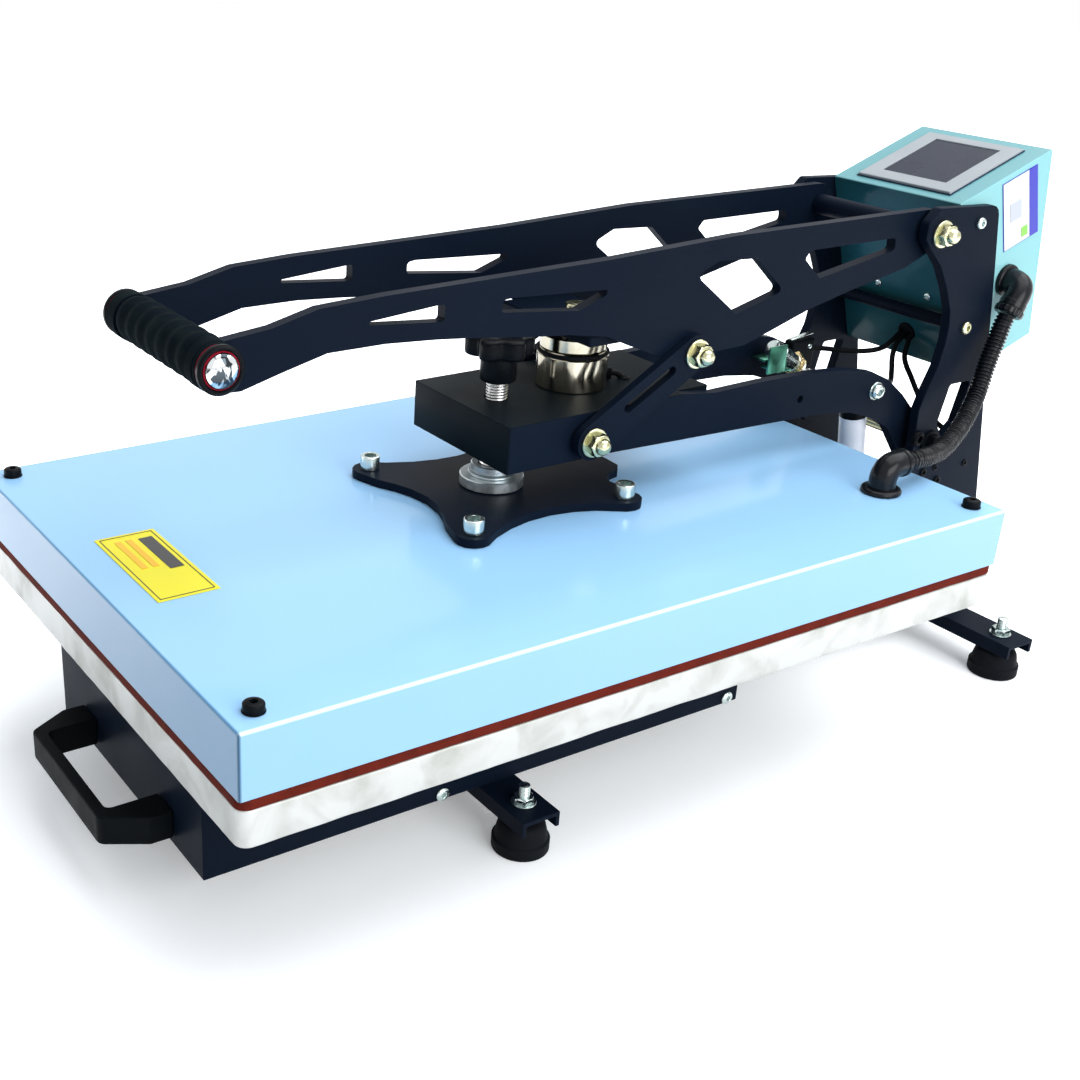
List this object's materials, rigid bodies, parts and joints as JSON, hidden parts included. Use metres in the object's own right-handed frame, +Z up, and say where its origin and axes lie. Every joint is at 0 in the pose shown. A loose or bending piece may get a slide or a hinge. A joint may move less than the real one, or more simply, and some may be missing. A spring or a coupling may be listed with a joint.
{
  "type": "clamshell heat press",
  "caption": "Clamshell heat press with lever and link clamp, magnetic hold-down, slide-out lower platen, telescopic rails and a tilted control box on rear posts.",
  "frame": {"origin": "on the floor, at the centre of the whole object's footprint box", "axes": "+Z up; -Y is the operator's side, where the grip and the drawer handle are; +X is to the operator's right when facing the press from the front"},
  "size_m": [0.4, 0.8175, 0.4043],
  "materials": {
    "black_powder_coat": "satin black powder coat",
    "blue_enamel": "gloss sky-blue stove enamel",
    "mint_enamel": "satin mint-green stove enamel",
    "silicone_pad": "matt brick-red silicone sponge",
    "brushed_aluminium": "milled and brushed aluminium",
    "black_rubber": "matt black rubber",
    "black_plastic": "satin black nylon",
    "nickel_plate": "bright nickel plate",
    "zinc_plate": "yellow zinc plate",
    "steel": "bare turned or rolled steel",
    "screen_glass": "grey panel with a dark glass window"
  },
  "bodies": {
    "base": {"base_tray": "black_powder_coat", "crossbar_front": "black_powder_coat", "crossbar_rear": "black_powder_coat", "foot_front_left": "black_rubber", "foot_front_right": "black_rubber", "foot_rear_left": "black_rubber", "foot_rear_right": "black_rubber", "slide_outer_left": "steel", "slide_outer_right": "steel", "post_left": "black_powder_coat", "post_right": "black_powder_coat", "rear_plate": "black_powder_coat", "tie_rod": "black_powder_coat", "control_box": "mint_enamel", "control_box_panel": "mint_enamel", "touch_screen": "screen_glass", "box_gland": "black_plastic", "lever_shaft": "zinc_plate", "arm_shaft": "zinc_plate", "conduit": "black_plastic", "switch_cable": "black_rubber", "magnet_cable": "black_rubber", "earth_cable": "black_rubber"},
    "slide_middle": {"slide_middle_left": "steel", "slide_middle_right": "steel"},
    "drawer": {"slide_inner_left": "steel", "slide_inner_right": "steel", "drawer_box": "black_powder_coat", "drawer_handle": "black_plastic", "lower_platen": "brushed_aluminium", "silicone_pad": "silicone_pad"},
    "press_arm": {"arm_plate_left": "black_powder_coat", "arm_plate_right": "black_powder_coat", "press_block": "black_powder_coat", "electromagnet": "nickel_plate", "limit_switch": "black_plastic", "arm_damper": "steel"},
    "damper_rod": {"damper_rod": "steel"},
    "upper_platen": {"heater_cover": "blue_enamel", "heating_platen": "brushed_aluminium", "spider_plate": "black_powder_coat", "thrust_collar": "steel", "cover_gland": "black_plastic"},
    "spindle": {"spindle": "steel", "pressure_knob": "black_plastic"},
    "lever": {"lever_plate_left": "black_powder_coat", "lever_plate_right": "black_powder_coat", "lever_sleeve": "black_powder_coat", "grip_sleeve": "black_rubber", "grip_tube": "steel", "armature": "nickel_plate", "armature_bridge": "black_powder_coat", "link_bolt_upper_left": "zinc_plate", "link_bolt_upper_right": "zinc_plate"},
    "links": {"link_left": "black_powder_coat", "link_right": "black_powder_coat", "link_bolt_lower_left": "zinc_plate", "link_bolt_lower_right": "zinc_plate"},
    "gas_rod": {"gas_spring_rod": "steel"},
    "gas_barrel": {"gas_spring_barrel": "black_powder_coat"}
  },
  "joints": [
    {"name": "lever_hinge", "type": "hinge", "parent": "base", "child": "lever", "pos_m": [0, 0.2627, 0.353], "axis": [-1, 0, 0], "range_deg": [0, 70]},
    {"name": "arm_hinge", "type": "hinge", "parent": "base", "child": "press_arm", "pos_m": [0, 0.2957, 0.184], "axis": [-1, 0, 0], "range_deg": [0, 42.7], "deforming": ["conduit", "magnet_cable", "switch_cable"]},
    {"name": "link_hinge", "type": "hinge", "parent": "lever", "child": "links", "pos_m": [0, 0.0342, 0.2925], "axis": [1, 0, 0], "range_deg": [0, 101.2]},
    {"name": "gas_rod_hinge", "type": "hinge", "parent": "base", "child": "gas_rod", "pos_m": [0.033, 0.2677, 0.061], "axis": [-1, 0, 0], "range_deg": [0, 14.4]},
    {"name": "gas_slide", "type": "slide", "parent": "gas_rod", "child": "gas_barrel", "axis": [0, -0.1596, 0.9872], "range_m": [0, 0.0245]},
    {"name": "platen_slide", "type": "slide", "parent": "press_arm", "child": "upper_platen", "axis": [0, 0, 1], "range_m": [0, 0.006]},
    {"name": "knob_turn", "type": "hinge", "parent": "upper_platen", "child": "spindle", "pos_m": [0, -0.0843, 0.291], "axis": [0, 0, 1], "range_deg": [0, 1081]},
    {"name": "drawer_slide", "type": "slide", "parent": "base", "child": "drawer", "axis": [0, -1, 0], "range_m": [0, 0.3]},
    {"name": "slide_middle_slide", "type": "slide", "parent": "base", "child": "slide_middle", "axis": [0, -1, 0], "range_m": [0, 0.1501]},
    {"name": "damper_slide", "type": "slide", "parent": "press_arm", "child": "damper_rod", "axis": [0, -0.8575, 0.5145], "range_m": [0, 0.003], "stiffness_N_per_m": 300, "springref_m": -0.002}
  ],
  "couplings": [
    {"joint": "arm_hinge", "follows": "lever_hinge", "ratio": 0.6071},
    {"joint": "link_hinge", "follows": "lever_hinge", "ratio": 1.4399},
    {"joint": "gas_rod_hinge", "follows": "lever_hinge", "ratio": 0.204},
    {"joint": "gas_slide", "follows": "lever_hinge", "m_per_rad": 0.0198},
    {"joint": "knob_turn", "follows": "platen_slide", "rad_per_m": 3141.6},
    {"joint": "slide_middle_slide", "follows": "drawer_slide", "ratio": 0.5}
  ]
}
